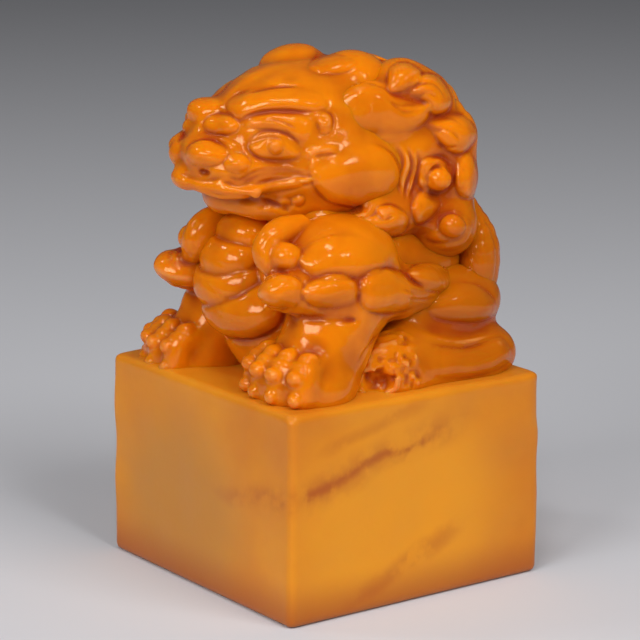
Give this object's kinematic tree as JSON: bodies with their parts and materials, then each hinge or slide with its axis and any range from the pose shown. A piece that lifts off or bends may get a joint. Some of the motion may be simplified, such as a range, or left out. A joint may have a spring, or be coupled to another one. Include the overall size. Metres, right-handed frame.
{
  "type": "seal stamp",
  "caption": "Square soft-stone seal stamp with a crouching guardian-lion knob and a raised, bordered printing face, for stamping calligraphy and paintings.",
  "frame": {"origin": "middle of the printing face, on the plane of its raised rim", "axes": "+Z from the printing face up through the lion's crown, -Y the way the lion's body faces, +X the lion's left side"},
  "size_m": [0.04, 0.04, 0.068],
  "materials": {
    "block_stone": "waxed amber soapstone, ground flat and satin, browner towards the foot, with red-brown veins",
    "lion_stone": "waxed and polished amber soapstone, glossy on the raised forms, dark red-brown in the cuts"
  },
  "bodies": {
    "root": {"seal_block": "block_stone", "torso": "lion_stone", "mane": "lion_stone", "skull": "lion_stone", "left_cheek": "lion_stone", "right_cheek": "lion_stone", "muzzle": "lion_stone", "nose": "lion_stone", "upper_lip": "lion_stone", "lower_jaw": "lion_stone", "left_eye": "lion_stone", "right_eye": "lion_stone", "left_brow": "lion_stone", "right_brow": "lion_stone", "left_ear": "lion_stone", "right_ear": "lion_stone", "left_crown_lobe": "lion_stone", "right_crown_lobe": "lion_stone", "left_crown_swell": "lion_stone", "right_crown_swell": "lion_stone", "left_upper_lock": "lion_stone", "right_upper_lock": "lion_stone", "left_rear_lock": "lion_stone", "right_rear_lock": "lion_stone", "left_low_lock": "lion_stone", "right_low_lock": "lion_stone", "nape_lock": "lion_stone", "left_side_curl": "lion_stone", "right_side_curl": "lion_stone", "left_cheek_hair": "lion_stone", "right_cheek_hair": "lion_stone", "left_jaw_curl": "lion_stone", "right_jaw_curl": "lion_stone", "left_neck_curl": "lion_stone", "right_neck_curl": "lion_stone", "left_nape_curl": "lion_stone", "right_nape_curl": "lion_stone", "chest_plate_1": "lion_stone", "chest_plate_2": "lion_stone", "chest_plate_3": "lion_stone", "chest_plate_4": "lion_stone", "left_shoulder_flames": "lion_stone", "right_shoulder_flames": "lion_stone", "left_shoulder_curl": "lion_stone", "right_shoulder_curl": "lion_stone", "left_forepaw": "lion_stone", "right_forepaw": "lion_stone", "left_foreleg": "lion_stone", "right_foreleg": "lion_stone", "left_hind_paw": "lion_stone", "right_hind_paw": "lion_stone", "left_shank": "lion_stone", "right_shank": "lion_stone", "left_haunch": "lion_stone", "right_haunch": "lion_stone", "tail": "lion_stone"}
  },
  "joints": []
}
